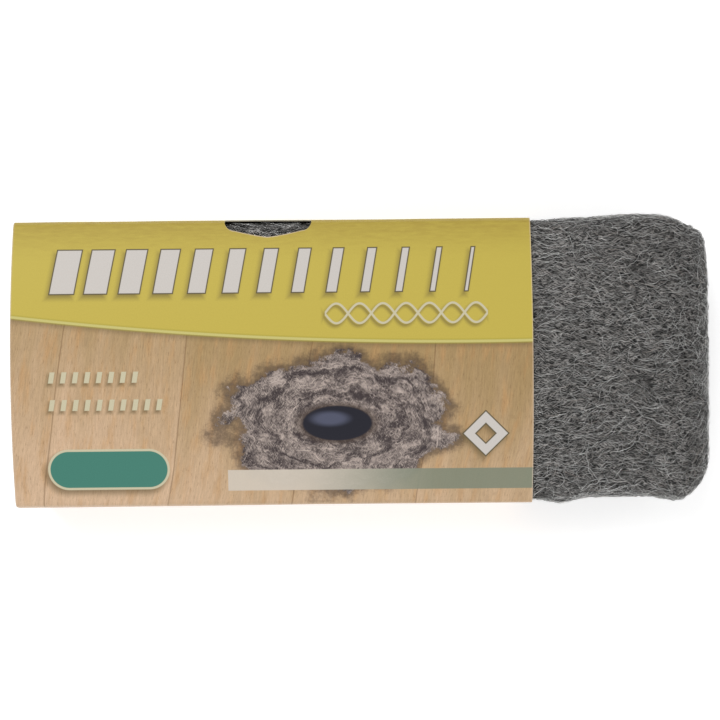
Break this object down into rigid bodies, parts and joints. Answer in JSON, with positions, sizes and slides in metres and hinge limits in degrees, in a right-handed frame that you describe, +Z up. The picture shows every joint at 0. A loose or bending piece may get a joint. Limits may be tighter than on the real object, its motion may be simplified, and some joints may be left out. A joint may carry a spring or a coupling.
{
  "type": "steel wool pad",
  "caption": "Long flat pad rolled from steel wool, pushed into a folded card sleeve that is open at both ends and leaves one end of the wool bare.",
  "frame": {"origin": "below the middle of the whole pad, on the surface that its back lies on", "axes": "+X along the pad towards the bare wool, +Y across it towards the fold with the hang hole, +Z up, out of the sleeve's printed front"},
  "size_m": [0.2439, 0.1033, 0.0452],
  "materials": {
    "printed_card": "semi-gloss coated print outside, bare grey-white board inside",
    "steel_wool": "loose tangled fine fibres, dull grey with bright glints"
  },
  "bodies": {
    "root": {"card_sleeve": "printed_card", "wool_hank": "steel_wool"}
  },
  "joints": []
}
